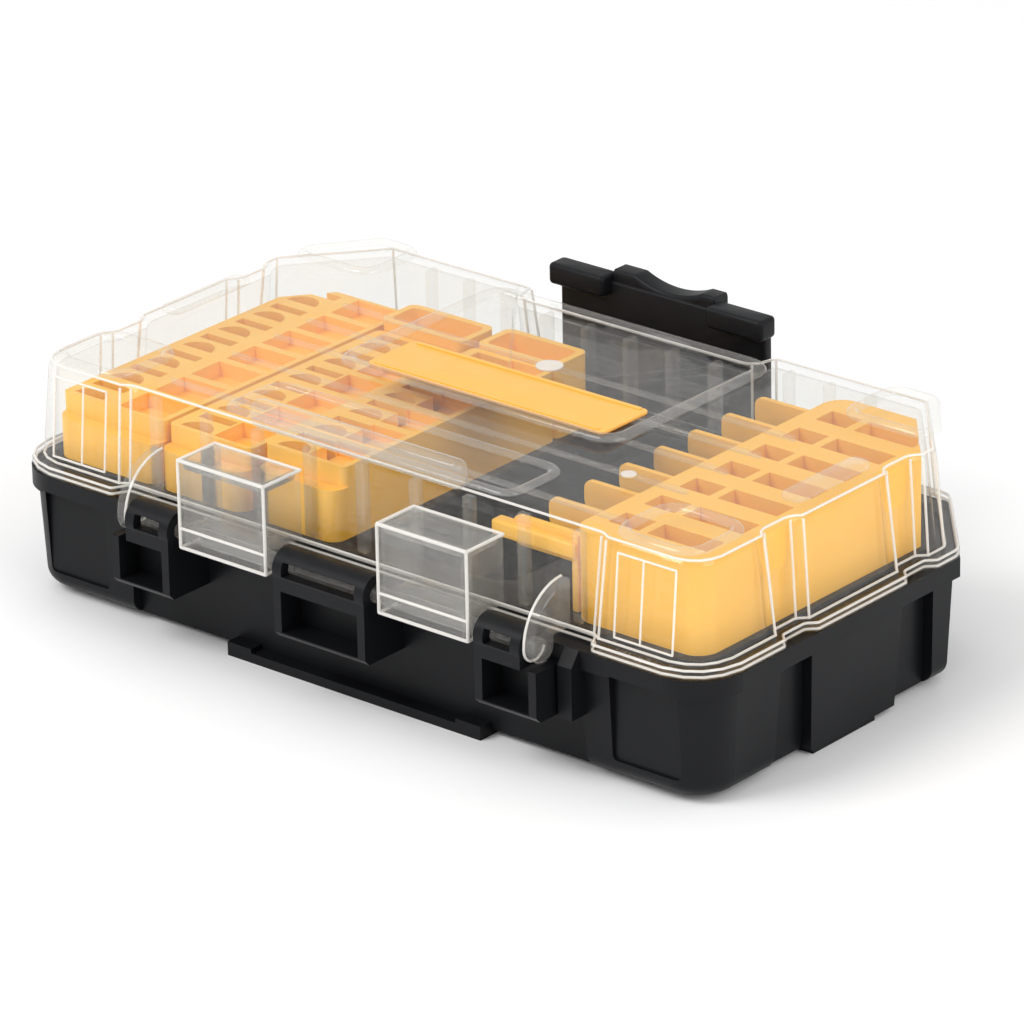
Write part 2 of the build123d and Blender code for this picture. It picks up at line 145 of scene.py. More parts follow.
def spread(tree, factor, low, high, start=0.35, end=0.65):
    """Number that goes from low to high while the factor goes from start to end."""
    return node(tree, "ShaderNodeMapRange",
                {"Value": factor, "From Min": start, "From Max": end,
                 "To Min": low, "To Max": high}).outputs["Result"]


def relief(tree, height, depth, strength=1.0):
    """Bump of a real depth in metres from a height between 0 and 1."""
    return node(tree, "ShaderNodeBump",
                {"Height": height, "Distance": depth, "Strength": strength}).outputs["Normal"]


# %% [markdown]
# The base and the latch are ABS, moulded against a spark-eroded steel face. That gives an
# even fine grain, about a third of a millimetre from one pit to the next, and a soft sheen.
# The grain breaks up the gloss, so the specular level is well below a polished face's.
# Handling leaves slightly greyer, smoother patches a few centimetres wide.

# %% Black ABS
def textured_abs(name, dark, dusty, grit, roughness):
    """Black ABS with spark-eroded grain, and smoother dusty patches from handling."""
    material, tree, shader = new_material(name)
    pits = grain(tree, grit, detail=3.0)
    patches = grain(tree, 34 * MM, detail=4.0)
    tree.links.new(blend(tree, patches.outputs["Fac"], dark, dusty), shader.inputs["Base Color"])
    tree.links.new(spread(tree, patches.outputs["Fac"], roughness + 0.05, roughness - 0.05),
                   shader.inputs["Roughness"])
    tree.links.new(relief(tree, pits.outputs["Fac"], 0.03 * MM, 0.55), shader.inputs["Normal"])
    shader.inputs["IOR"].default_value = 1.54
    shader.inputs["Specular IOR Level"].default_value = 0.15
    return material


black_abs = textured_abs("black_textured_abs", "#0E0F11", "#141518", 0.34 * MM, 0.40)
latch_abs = textured_abs("latch_abs", "#0F1012", "#151619", 0.30 * MM, 0.40)
tray_abs = textured_abs("tray_abs", "#25272B", "#2B2D31", 0.55 * MM, 0.38)
print("black finishes", black_abs.name, latch_abs.name, tray_abs.name)

# %% [markdown]
# The racks are ABS in a warm yellow. They come out of a smoother mould, so they are satin,
# and the colour is a touch deeper in clouds about a centimetre wide, where the melt met.
# The relief is faint, because the eye should read a smooth face with a soft shine.

# %% Yellow ABS
def satin_abs(name, bright, deep, roughness):
    """Coloured ABS from a smooth mould, with faint clouds of deeper pigment."""
    material, tree, shader = new_material(name)
    clouds = grain(tree, 11 * MM, detail=3.0)
    satin = grain(tree, 0.6 * MM, detail=2.0)
    tree.links.new(blend(tree, clouds.outputs["Fac"], bright, deep), shader.inputs["Base Color"])
    tree.links.new(spread(tree, clouds.outputs["Fac"], roughness - 0.04, roughness + 0.06),
                   shader.inputs["Roughness"])
    tree.links.new(relief(tree, satin.outputs["Fac"], 0.02 * MM, 0.35), shader.inputs["Normal"])
    shader.inputs["IOR"].default_value = 1.54
    return material


yellow_abs = satin_abs("yellow_abs", "#FFC548", "#FDBC3C", 0.42)
plaque_abs = satin_abs("plaque_abs", "#FABB58", "#F6B14C", 0.38)
print("yellow finishes", yellow_abs.name, plaque_abs.name)

# %% [markdown]
# The lid is clear polycarbonate with walls about two millimetres thick. Such a wall hardly
# bends what lies behind it, so it is drawn as a thin wall: most light goes straight on, a
# gloss coat reflects the studio, and where the surface turns away from the eye the plastic
# gathers light and looks pale. A faint veil stands for hairline scratches: real ones are
# too fine to show, so they are drawn about half a millimetre apart. A glass shader would
# bend the light, which makes a lid of several thin walls look far too dark.

# %% Clear polycarbonate
PALEST = 0.7
MOST_HAZE = 0.035
GLOSS_AHEAD, GLOSS_GRAZING = 0.035, 0.55


def clear_plastic(name, pale, veil, edge_start):
    """Thin clear wall: see-through from the front, pale at grazing edges, glossy all over."""
    material, tree, shader = new_material(name)
    output = tree.nodes["Material Output"]
    waves = grain(tree, 14 * MM, detail=1.0)
    scratches = grain(tree, 0.5 * MM, detail=2.0, stretch=(0.12, 1, 1))
    normal = relief(tree, waves.outputs["Fac"], 0.05 * MM, 0.4)
    through = node(tree, "ShaderNodeBsdfTransparent", {"Color": linear("#FEFEFD")})
    turned = node(tree, "ShaderNodeLayerWeight", {"Blend": 0.5}).outputs["Facing"]
    rim = spread(tree, turned, veil, PALEST, edge_start, 1.0)
    haze = spread(tree, scratches.outputs["Fac"], 0.0, MOST_HAZE, 0.4, 0.8)
    total = node(tree, "ShaderNodeMath", {0: rim, 1: haze}, operation="ADD", use_clamp=True)
    shader.inputs["Base Color"].default_value = linear(pale)
    shader.inputs["Roughness"].default_value = 0.25
    tree.links.new(normal, shader.inputs["Normal"])
    body = node(tree, "ShaderNodeMixShader",
                {0: total.outputs[0], 1: through.outputs[0], 2: shader.outputs[0]})
    gloss = node(tree, "ShaderNodeBsdfGlossy", {"Roughness": 0.04, "Normal": normal})
    steep = node(tree, "ShaderNodeMath", {0: turned, 1: 4.0}, operation="POWER")
    mirror = spread(tree, steep.outputs[0], GLOSS_AHEAD, GLOSS_GRAZING, 0.0, 1.0)
    coat = node(tree, "ShaderNodeMixShader", {0: mirror, 1: body.outputs[0], 2: gloss.outputs[0]})
    tree.links.new(coat.outputs[0], output.inputs["Surface"])
    return material


clear_lid = clear_plastic("clear_polycarbonate", "#FFFDF9", 0.0, 0.86)
clear_edge = clear_plastic("clear_thick_bead", "#FFFCF6", 0.05, 0.66)
# The lit edge finish is pale even face on, because the rods that carry it are painted highlights along
# the lid's edges.
lit_edge = clear_plastic("clear_lit_edge", "#FFFCF7", 0.5, 0.5)
frosted = clear_plastic("frosted_gate_mark", "#F4F0EA", 0.55, 0.6)
print("clear finishes", clear_lid.name, clear_edge.name, lit_edge.name, frosted.name)

# %% [markdown]
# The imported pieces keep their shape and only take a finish. The base is black, the tray a
# lighter black, and all that isn't named here is a yellow rack.

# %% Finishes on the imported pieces
FINISHES = {
    "base_shell": black_abs,
    "latch": latch_abs,
    "inner_tray": tray_abs,
    "lid": clear_lid,
}
for name in NODES:
    mesh = NODES[name].data
    mesh.materials.clear()
    mesh.materials.append(FINISHES.get(name, yellow_abs))
print("finished", len(NODES), "packed pieces")

# %% [markdown]
# The thin pieces are all plates with rounded corners and a small bevel. A plate is a
# surface over two parameters: one runs round a rounded rectangle, the other goes from the
# middle of the bottom face over the edge to the middle of the top face.

# %% Plates
OUTLINE_POINTS = 48


def rounded_outline(width, depth, radius):
    """Points round a rounded rectangle: a circle whose four quarters are moved apart."""
    turn = (np.arange(OUTLINE_POINTS) + 0.5) * 2 * np.pi / OUTLINE_POINTS
    x = np.sign(np.cos(turn)) * (width / 2 - radius) + radius * np.cos(turn)
    y = np.sign(np.sin(turn)) * (depth / 2 - radius) + radius * np.sin(turn)
    return np.stack([x, y], axis=1)


def plate_rows(width, depth, height, radius, bevel):
    """Rows of the plate's surface: its outline with rounded edges, closed to a point at both ends."""
    quarter = np.linspace(0, np.pi / 2, 4)
    pole = np.zeros((OUTLINE_POINTS, 2))
    rows = [np.column_stack([pole, np.full(OUTLINE_POINTS, -height / 2)])]
    for side in (-1, 1):
        for angle in quarter[::-side]:
            inset = bevel * (1 - np.sin(angle))
            z = side * (height / 2 - bevel * (1 - np.cos(angle)))
            ring = rounded_outline(width - 2 * inset, depth - 2 * inset, max(radius - inset, 0.05))
            rows.append(np.column_stack([ring, np.full(OUTLINE_POINTS, z)]))
    rows.append(np.column_stack([pole, np.full(OUTLINE_POINTS, height / 2)]))
    return np.stack(rows)


def shell_mesh(name, blocks):
    """One mesh from grids of points in metres, each grid wrapped round along its second axis."""
    points, faces, start = [], [], 0
    for block in blocks:
        rows, count = block.shape[:2]
        i = np.arange(rows - 1)[:, None]
        j = np.arange(count)[None, :]
        following = (j + 1) % count
        quads = np.stack([i * count + j, i * count + following,
                          (i + 1) * count + following, (i + 1) * count + j], axis=-1)
        points.append(block.reshape(-1, 3))
        faces.append(quads.reshape(-1, 4) + start)
        start += rows * count
    mesh = bpy.data.meshes.new(name)
    mesh.from_pydata(np.concatenate(points).tolist(), [], np.concatenate(faces).tolist())
    close_seams(mesh)
    mesh.shade_smooth()
    mesh.set_sharp_from_angle(angle=np.radians(32))
    piece = bpy.data.objects.new(name, mesh)
    bpy.context.scene.collection.objects.link(piece)
    return piece


def close_seams(mesh):
    """Merges the doubled points at the poles and turns every face outwards."""
    work = bmesh.new()
    work.from_mesh(mesh)
    bmesh.ops.remove_doubles(work, verts=work.verts, dist=1e-6)
    bmesh.ops.recalc_face_normals(work, faces=work.faces)
    work.to_mesh(mesh)
    work.free()


def placed(rows, center, across=(1, 0, 0), along=(0, 1, 0), through=(0, 0, 1)):
    """Moves a plate from its own axes to a place and three directions, millimetres to metres."""
    axes = np.array([across, along, through], dtype=float)
    return (rows @ axes + np.array(center)) * MM


def add_piece(name, blocks, material, body):
    """Makes the mesh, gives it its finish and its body."""
    piece = shell_mesh(name, blocks)
    piece.data.materials.append(material)
    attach(piece, body)
    print("made", name, len(piece.data.polygons), "faces")
    return piece


print("a plate has", plate_rows(10, 10, 2, 1, 0.2).shape[0], "rows of", OUTLINE_POINTS, "points")

# %% [markdown]
# The lid's shape is one outline, seen from above, that is carried up the wall: the two
# towers at each end stand proud, the middle of the front and two notches at each side
# stand back, the back corners are cut off and the latch has its recess. The outline is a
# polygon whose edges are moved inwards by a distance and whose corners are then rounded.
# Corner by corner the number of points stays the same, so outlines at different heights
# join into one closed wall.

# %% Outlines
POINTS_PER_CORNER = 5
CORNER_BOW = 0.78
SMALLEST_RADIUS = 0.6


def rounded_polygon(corners, radii, inset):
    """Outline of a polygon moved inwards. Each corner is a quadratic curve between the two
    points where a circle of its radius would touch, and bows nearly to where they cross."""
    corners = np.asarray(corners, dtype=float)
    before = np.roll(corners, 1, axis=0)
    after = np.roll(corners, -1, axis=0)
    ahead = (after - corners) / np.linalg.norm(after - corners, axis=1)[:, None]
    behind = (corners - before) / np.linalg.norm(corners - before, axis=1)[:, None]
    inward_ahead = np.column_stack([-ahead[:, 1], ahead[:, 0]])
    inward_behind = np.column_stack([-behind[:, 1], behind[:, 0]])
    cosine = np.sum(inward_ahead * inward_behind, axis=1)[:, None]
    moved = corners + inset * (inward_ahead + inward_behind) / (1 + cosine)
    cross = behind[:, 0] * ahead[:, 1] - behind[:, 1] * ahead[:, 0]
    turn = np.arctan2(cross, cosine[:, 0])
    radius = np.maximum(np.asarray(radii) - inset * np.sign(turn), SMALLEST_RADIUS)
    reach = radius * np.abs(np.tan(turn / 2))
    share = np.linspace(0, 1, POINTS_PER_CORNER)[None, :, None]
    start = (moved - behind * reach[:, None])[:, None, :]
    end = (moved + ahead * reach[:, None])[:, None, :]
    pull = moved[:, None, :] * CORNER_BOW + (start + end) / 2 * (1 - CORNER_BOW)
    curve = (1 - share) ** 2 * start + 2 * share * (1 - share) * pull + share ** 2 * end
    return curve.reshape(-1, 2)


def mirrored(right_side):
    """Corners of the right half, from front to back, followed by their mirror images."""
    right_side = np.asarray(right_side, dtype=float)
    left_side = right_side[::-1] * np.array([-1, 1])
    return np.concatenate([right_side, left_side])


HALF_LENGTH = 115.0
HALF_DEPTH = 64.0
PARTING = 34.65
FLANGE = 2.4
LID_INSET = 3.0
WALL = 2.2
LID_TOP = 64.0
DRAFT = np.tan(np.radians(5))
FRONT_STEP_X = 76.5
MIDDLE_FRONT = -59.4
NOTCH = 2.4
NOTCHES = [(-33.0, -20.0), (15.5, 28.0)]
CUT = (23.0, 27.0)
RECESS_HALF = 36.4
RECESS_AT_RIM = 60.0
RECESS_AT_WALL = 53.5
FRONT_RADIUS = 14.0
STEP_RUN = 2.5
CUT_RUN = 0.4
RECESS_FLARE = 2.0


def lid_corners(inset, middle, recess):
    """Corners of the lid's plan whose sides are an inset from the rim."""
    side = HALF_LENGTH - inset
    front = -HALF_DEPTH + inset
    back = HALF_DEPTH - inset
    run = inset * CUT_RUN
    right = [(FRONT_STEP_X, middle), (FRONT_STEP_X + STEP_RUN, front), (side, front)]
    for low, high in NOTCHES:
        right += [(side, low), (side - NOTCH, low + NOTCH)]
        right += [(side - NOTCH, high - NOTCH), (side, high)]
    right += [(side, back - CUT[1] + run), (side - CUT[0] + run, back)]
    right += [(RECESS_HALF + RECESS_FLARE, back), (RECESS_HALF, recess)]
    return mirrored(right)


CORNER_RADII = [1.5, 1.5, FRONT_RADIUS] + [1.2] * 8 + [5.0, 5.0, 1.0, 1.0]
ALL_RADII = CORNER_RADII + CORNER_RADII[::-1]


def lid_row(z, inset, middle, recess, extra=0.0):
    """One outline of the lid at a height, moved a further distance inwards."""
    radii = np.array(ALL_RADII)
    radii = radii - inset * (radii == FRONT_RADIUS)
    outline = rounded_polygon(lid_corners(inset, middle, recess), radii, extra)
    return np.column_stack([outline, np.full(len(outline), z)])


print("the lid's outline has", len(ALL_RADII), "corners")

# %% [markdown]
# The wall leans in by five degrees so that the lid leaves its mould. At the top it turns
# over with a radius of three millimetres. The surface goes from the middle of the top,
# out over the edge, down the wall, round the flange and back up the inside, and closes on
# itself, so the lid has its real wall thickness everywhere.

# %% Lid wall
TOP_RADIUS = 3.0
FOOT = (LID_INSET, MIDDLE_FRONT, RECESS_AT_WALL)
LIP = 0.5
FLANGE_FILLET = 0.1
INNER_BEVEL = 1.0


def wall_row(z, thickness=0.0, turned=0.0):
    """Outline of the wall at a height, with the lean of the draft."""
    return lid_row(z, *FOOT, extra=(z - PARTING) * DRAFT + thickness + turned)


turns = np.linspace(np.pi / 2, 0, 6)
outer_edge = [wall_row(LID_TOP - TOP_RADIUS + TOP_RADIUS * np.sin(a),
                       turned=TOP_RADIUS * (1 - np.cos(a)))
              for a in turns]
flange = [
    lid_row(PARTING + FLANGE, *FOOT, FLANGE_FILLET),
    lid_row(PARTING + FLANGE, LIP, MIDDLE_FRONT, RECESS_AT_RIM - LIP),
    lid_row(PARTING + FLANGE - LIP, 0.0, MIDDLE_FRONT, RECESS_AT_RIM),
    lid_row(PARTING, 0.0, MIDDLE_FRONT, RECESS_AT_RIM),
]
inner = [
    wall_row(PARTING, WALL),
    wall_row(LID_TOP - WALL - INNER_BEVEL, WALL),
    wall_row(LID_TOP - WALL, WALL, INNER_BEVEL),
]
top_ring = outer_edge[0]
under_ring = inner[-1]
TOP_SHARES = (0.0, 0.5, 0.97)
shell = [top_ring * [s, s, 1] for s in TOP_SHARES] + outer_edge + flange + inner
shell += [under_ring * [s, s, 1] for s in TOP_SHARES[::-1]]
wall_grid = np.stack(shell) * MM
lid_shell = add_piece("lid_shell", [wall_grid], clear_lid, "lid")
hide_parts("lid")
print("lid rows", len(shell), "points round", len(top_ring))

# %% [markdown]
# Beads stand on the top so that cases can be stacked: a ring on each tower, frames round
# the two sunk places, a bar at each side and a thick round ridge along the front. A bead
# is a closed loop whose outline moves inwards while its height rises and falls along half
# an ellipse. The bars and the ridge are rounded plates.

# %% Beads on the lid
BEAD_WIDTH = 3.4
BEAD_HEIGHT = 1.6


def bead(corners, radii, width=BEAD_WIDTH, height=BEAD_HEIGHT):
    """Loop with a half-elliptical section along a rounded polygon."""
    angle = np.linspace(np.pi, 0, 9)
    rows = []
    for a in angle:
        outline = rounded_polygon(corners, radii, width / 2 * (1 + np.cos(a)))
        rows.append(np.column_stack([outline, np.full(len(outline), LID_TOP + height * np.sin(a))]))
    rows.append(rows[0])
    return np.stack(rows) * MM


def box_corners(x_low, x_high, y_low, y_high):
    """Corners of a rectangle, counter-clockwise."""
    return [(x_low, y_low), (x_high, y_low), (x_high, y_high), (x_low, y_high)]


FRONT_TOWER = {"inner": 79.5, "outer": 106.5, "front": -58.0, "back": -33.5, "radii": [7] * 4}
BACK_TOWER = [(77.5, 35.0), (105.0, 35.0), (105.0, 42.5), (92.5, 58.8), (77.5, 58.8)]
BACK_TOWER_RADII = [6, 4, 5, 5, 6]
MIDDLE_FRAME = (-46.9, 46.9, -15.0, 51.0)
MIDDLE_FRAME_WIDTH = 4.0
FRONT_FRAME = (-48.0, 48.0, -56.0, -33.0)
FRONT_FRAME_WIDTH, FRONT_FRAME_HEIGHT = 3.0, 1.2
beads = []
for sign in (1, -1):
    ends = sorted((sign * FRONT_TOWER["inner"], sign * FRONT_TOWER["outer"]))
    ring = box_corners(*ends, FRONT_TOWER["front"], FRONT_TOWER["back"])
    beads.append(bead(ring, FRONT_TOWER["radii"]))
    mirrored_ring = [(sign * x, y) for x, y in BACK_TOWER][::sign]
    beads.append(bead(mirrored_ring, BACK_TOWER_RADII[::sign]))
beads.append(bead(box_corners(*MIDDLE_FRAME), [7, 7, 7, 7], MIDDLE_FRAME_WIDTH))
beads.append(bead(box_corners(*FRONT_FRAME), [5, 5, 6, 6], FRONT_FRAME_WIDTH, FRONT_FRAME_HEIGHT))
add_piece("lid_beads", beads, clear_edge, "lid")

SIDE_BAR = (6.6, 30.0, 1.8)
SIDE_BAR_X, MIDDLE_Y = 102.3, -1.0
bars = [placed(plate_rows(*SIDE_BAR, 2.5, 0.7), (sign * SIDE_BAR_X, MIDDLE_Y, LID_TOP + SIDE_BAR[2] / 2))
        for sign in (-1, 1)]
RIDGE = (69.0, 5.2, 7.6)
RIDGE_Y, RIDGE_TOP = -57.2, 71.0
ridge = placed(plate_rows(*RIDGE, 2.5, 2.2), (0, RIDGE_Y, RIDGE_TOP - RIDGE[2] / 2))
add_piece("lid_stacking_bars", bars + [ridge], clear_edge, "lid")

# %% [markdown]
# Thin ribs stiffen the lid: across the underside of the top, up the inside of the front
# wall, up the recess behind the latch and up the back wall beside it. Each is a plate
# stood on its edge, so that it is a real thickness with a bright edge of its own.

# %% Ribs
def standing_rib(x, y, low, high, width, depth):
    """Plate from one height to another, with its width along X and its depth along Y."""
    rows = plate_rows(width, high - low, depth, 0.4, 0.25)
    return placed(rows, (x, y, (low + high) / 2), (1, 0, 0), (0, 0, 1), (0, -1, 0))


RIB_TOP = 61.6
FRONT_RIBS, FRONT_PITCH = 9, 17.4
RECESS_RIBS, RECESS_PITCH = 5, 14.0
OUTER_RIB_X = (47.0, 60.0, 73.0)
TOP_RIB = (150.0, 1.4, 1.2)
TOP_RIB_Y = (-44.0, -21.0, -5.0, 8.0, 22.0)
front_y = MIDDLE_FRONT + WALL + 1.2
recess_y = RECESS_AT_WALL - WALL - 2.4
outer_y = HALF_DEPTH - LID_INSET - WALL - 3.6
front_ribs = [standing_rib((i - FRONT_RIBS // 2) * FRONT_PITCH, front_y, 37.5, RIB_TOP, 3.0, 2.2)
              for i in range(FRONT_RIBS)]
back_ribs = [standing_rib((i - RECESS_RIBS // 2) * RECESS_PITCH, recess_y, 40.0, RIB_TOP, 1.8, 4.4)
             for i in range(RECESS_RIBS)]
outer_ribs = [standing_rib(sign * x, outer_y, 38.0, RIB_TOP, 1.6, 3.6)
              for sign in (-1, 1) for x in OUTER_RIB_X]
top_ribs = [placed(plate_rows(*TOP_RIB, 0.5, 0.3), (0, y, LID_TOP - WALL - TOP_RIB[2] / 2))
            for y in TOP_RIB_Y]
add_piece("lid_ribs", front_ribs + back_ribs + outer_ribs + top_ribs, clear_edge, "lid")

# %% [markdown]
# Two boxes on the front of the lid reach down to the hinge line and hold the moulded rod
# that the barrels snap onto. Each is made of plates: a front, a top, a floor at the height
# of the flange, and two sides that are deep above the flange and shallow below it. The ears
# outside the barrels are curved plates that end in an eye round the rod.

# %% Hinge boxes, ears and rod
AXIS = (-69.0, 34.7)
ROD_RADIUS = 2.2
ROD_HALF = 68.0
ROD_POINTS = 24
EYE_RADIUS = 3.9
EAR_TOP = 49.5
EAR_INNER, EAR_OUTER, EAR_BEVEL = 65.3, 68.7, 0.4
EAR_POINTS = 12
BOX = {"inner": 18.7, "outer": 47.4, "front": -72.2, "top": 55.5, "bottom": 31.8, "wall": 2.0}
BOX["back"] = MIDDLE_FRONT + 1.2
BOX["low back"] = AXIS[0] + 3.6
BOX_FLOOR = 1.4


def slab(x, y, z, size):
    """Upright or flat plate of a size given along X, Y and Z."""
    rows = plate_rows(size[0], size[1], size[2], min(size[0], size[1]) * 0.22, min(size) * 0.18)
    return placed(rows, (x, y, z))


def hinge_box(sign):
    """Front, two sides, top and floor of one box."""
    middle = sign * (BOX["inner"] + BOX["outer"]) / 2
    length = BOX["outer"] - BOX["inner"]
    height = BOX["top"] - BOX["bottom"]
    depth = BOX["back"] - BOX["front"]
    low_depth = BOX["low back"] - BOX["front"]
    wall = BOX["wall"]
    z = (BOX["top"] + BOX["bottom"]) / 2
    y = BOX["front"] + depth / 2
    pieces = [slab(middle, BOX["front"] + wall / 2, z, (length, wall, height)),
              slab(middle, y, BOX["top"] - wall / 2, (length - 0.4, depth, wall))]
    upper = BOX["top"] - PARTING - FLANGE
    for end in (BOX["inner"] + wall / 2, BOX["outer"] - wall / 2):
        pieces.append(slab(sign * end, y, BOX["top"] - upper / 2, (wall, depth, upper)))
        pieces.append(slab(sign * end, BOX["front"] + low_depth / 2, z - upper / 2,
                           (wall, low_depth, height - upper)))
    floor = (length - 2 * wall, depth - 2.5 * wall, BOX_FLOOR)
    pieces.append(slab(middle, y + 0.75 * wall, PARTING + FLANGE, floor))
    return pieces


def ear(sign):
    """Curved plate: a quarter ellipse and a half circle in the side view, with a thickness along X."""
    lift = np.linspace(0, np.pi / 2, EAR_POINTS)
    eye = np.linspace(np.pi, 2 * np.pi, EAR_POINTS)
    back = MIDDLE_FRONT + 1.0
    curve_y = back - (back - AXIS[0] + EYE_RADIUS) * np.sin(lift)
    curve_z = AXIS[1] + (EAR_TOP - AXIS[1]) * np.cos(lift)
    eye_y = AXIS[0] + EYE_RADIUS * np.cos(eye)
    eye_z = AXIS[1] + EYE_RADIUS * np.sin(eye)
    side = np.column_stack([np.concatenate([curve_y, eye_y, [AXIS[0] + EYE_RADIUS, back]]),
                            np.concatenate([curve_z, eye_z, [PARTING + FLANGE, PARTING + FLANGE]])])
    middle = side.mean(axis=0)
    inner_face = [(EAR_INNER, 0.0), (EAR_INNER, 0.94), (EAR_INNER + EAR_BEVEL, 1.0)]
    outer_face = [(EAR_OUTER - EAR_BEVEL, 1.0), (EAR_OUTER, 0.94), (EAR_OUTER, 0.0)]
    rows = []
    for x, shrink in inner_face + outer_face:
        flat = middle + (side - middle) * shrink
        rows.append(np.column_stack([np.full(len(flat), sign * x), flat]))
    return np.stack(rows) * MM


def rod(x_low, x_high):
    """Cylinder along the hinge line with closed ends."""
    angle = np.arange(ROD_POINTS) * 2 * np.pi / ROD_POINTS
    circle = np.column_stack([np.cos(angle), np.sin(angle)]) * ROD_RADIUS
    rows = [np.column_stack([np.full(ROD_POINTS, x), np.array(AXIS) + circle * share])
            for x, share in ((x_low, 0.0), (x_low, 1.0), (x_high, 1.0), (x_high, 0.0))]
    return np.stack(rows) * MM


hinge_pieces = hinge_box(1) + hinge_box(-1) + [ear(1), ear(-1), rod(-ROD_HALF, ROD_HALF)]
add_piece("lid_hinge_boxes", hinge_pieces, clear_edge, "lid")

# %% [markdown]
# Every outer edge of clear plastic is rounded and shines, because it gathers light from
# the whole wall. A shader alone makes such an edge too faint. So the shine is drawn with
# thin round rods that follow the edges: round the top, along the flange, up each corner of
# the towers and notches, and round the tower panels, the boxes and the ears.

# %% Lit edges
EDGE_RADIUS = 0.36
PANEL_EDGE = 0.3
EAR_EDGE = 0.35
BOX_EDGE, BOX_EDGE_FAINT, BOX_EDGE_TOP = 0.45, 0.4, 0.5
SECTION_POINTS = 8
SECTION = np.arange(SECTION_POINTS) * 2 * np.pi / SECTION_POINTS
ASKEW = [0.3, 0.5, 0.81]


def edge_loop(row_at, z, inset):
    """Thin round rod along an outline: the outline moved in and out and up and down by a circle."""
    rows = []
    for a in SECTION:
        row = row_at(z, inset + EDGE_RADIUS * np.cos(a))
        row[:, 2] = z + EDGE_RADIUS * np.sin(a)
        rows.append(row)
    rows.append(rows[0])
    return np.stack(rows) * MM


def edge_rod(start, end, radius=EDGE_RADIUS):
    """Thin round rod from one point to another: a circle square to the line, closed at both ends."""
    start, end = np.array(start, dtype=float), np.array(end, dtype=float)
    along = unit(end - start)
    side = unit(np.cross(along, ASKEW))
    other = np.cross(along, side)
    circle = radius * (np.cos(SECTION)[:, None] * side + np.sin(SECTION)[:, None] * other)
    return np.stack([start + 0 * circle, start + circle, end + circle, end + 0 * circle]) * MM


def rim_outline(z, inset):
    """Outline of the flange."""
    return lid_row(z, 0.0, MIDDLE_FRONT, RECESS_AT_RIM, inset)


flange_top = PARTING + FLANGE
edges = [edge_loop(wall_row, LID_TOP - 0.9, 0.9), edge_loop(wall_row, flange_top + 0.3, 0.0),
         edge_loop(rim_outline, flange_top - 0.3, LIP), edge_loop(rim_outline, PARTING + 0.5, LIP)]
low_row, high_row = wall_row(flange_top), wall_row(LID_TOP - 1.6, turned=0.4)
for corner, radius in enumerate(ALL_RADII):
    if radius < FRONT_RADIUS:
        middle = corner * POINTS_PER_CORNER + POINTS_PER_CORNER // 2
        edges.append(edge_rod(low_row[middle], high_row[middle]))

# %% [markdown]
# The towers have a plain panel on their front, and the boxes and ears stand out from the
# wall. Their edges are straight or short pieces of a curve, so single rods follow them,
# each as thick as the shine is bright. One more rod runs down the middle of each panel: it
# follows no edge and is a painted highlight of a bright band.

# %% Lit edges of panels, boxes and ears
# The rod at the middle is no edge: it is a painted highlight, a bright band down the panel.
PANEL = {"left": 84.0, "middle": 92.0, "right": 102.0, "low": 39.0, "high": 60.5}


def on_front(x, z):
    """Point on the front of a tower."""
    return (x, -HALF_DEPTH + LID_INSET + (z - PARTING) * DRAFT - 0.1, z)


def panel_highlights(sign):
    """Painted highlight rods round the panel on the front of one tower, and one down its middle for a
    bright band.
    """
    left, right, low, high = (PANEL[side] for side in ("left", "right", "low", "high"))
    upright = [edge_rod(on_front(sign * x, low), on_front(sign * x, high), PANEL_EDGE)
               for x in (left, PANEL["middle"], right)]
    level = [edge_rod(on_front(sign * left, z), on_front(sign * right, z), PANEL_EDGE)
             for z in (low, high)]
    return upright + level


def box_edge_highlights(sign):
    """Painted highlight rods along the edges of one hinge box."""
    near, far = sign * BOX["inner"], sign * BOX["outer"]
    front, back, low_back = BOX["front"], BOX["back"], BOX["low back"]
    top, bottom = BOX["top"], BOX["bottom"]
    rods = []
    for x in (near, far):
        rods.append(edge_rod((x, front, bottom), (x, front, top), BOX_EDGE))
        rods.append(edge_rod((x, front, top), (x, back, top), BOX_EDGE))
        rods.append(edge_rod((x, front, bottom), (x, low_back, bottom), BOX_EDGE_FAINT))
    for z, size in ((top, BOX_EDGE_TOP), (bottom, BOX_EDGE), (flange_top, BOX_EDGE_FAINT)):
        rods.append(edge_rod((near, front, z), (far, front, z), size))
    rods.append(edge_rod((near, back, top), (far, back, top), BOX_EDGE_FAINT))
    return rods


def ear_edge_highlights(sign):
    """Painted highlight along the curve and the eye of one ear, a short rod from each point to the next.
    """
    rim = ear(sign)[2] / MM
    last = 2 * EAR_POINTS - 2
    return [edge_rod(start, end, EAR_EDGE) for start, end in zip(rim[:last], rim[1:last + 1])]


for sign in (-1, 1):
    edges += panel_highlights(sign) + box_edge_highlights(sign) + ear_edge_highlights(sign)
add_piece("lid_lit_edges", edges, lit_edge, "lid")

# %% [markdown]
# The latch hooks over two short catches on the back of the lid. Each is a plate under the
# latch's hook, so it has the hook's length and place along X.

# %% Catches
HOOK_X, HOOK_LENGTH, HOOK_DEPTH = 17.0, 18.0, 4.4
CATCH_Y, CATCH_Z, CATCH_HEIGHT = 55.3, 48.5, 3.0
catches = [slab(sign * HOOK_X, CATCH_Y, CATCH_Z, (HOOK_LENGTH, HOOK_DEPTH, CATCH_HEIGHT))
           for sign in (-1, 1)]
add_piece("lid_catches", catches, clear_edge, "lid")

# %% [markdown]
# The lid's sunk place carries a plain yellow plaque, bonded flat on the top. It is a
# plate a little under a millimetre thick with a thinner raised line along both long edges.

# %% Plaque
PLAQUE_CENTER = (1.0, -1.5)
PLAQUE_SIZE = (78.0, 19.0)
PLAQUE_HEIGHT = 0.8
LINE_WIDTH, LINE_HEIGHT, LINE_LIFT = 1.2, 0.5, 0.15
LINE_GAP = 2.0

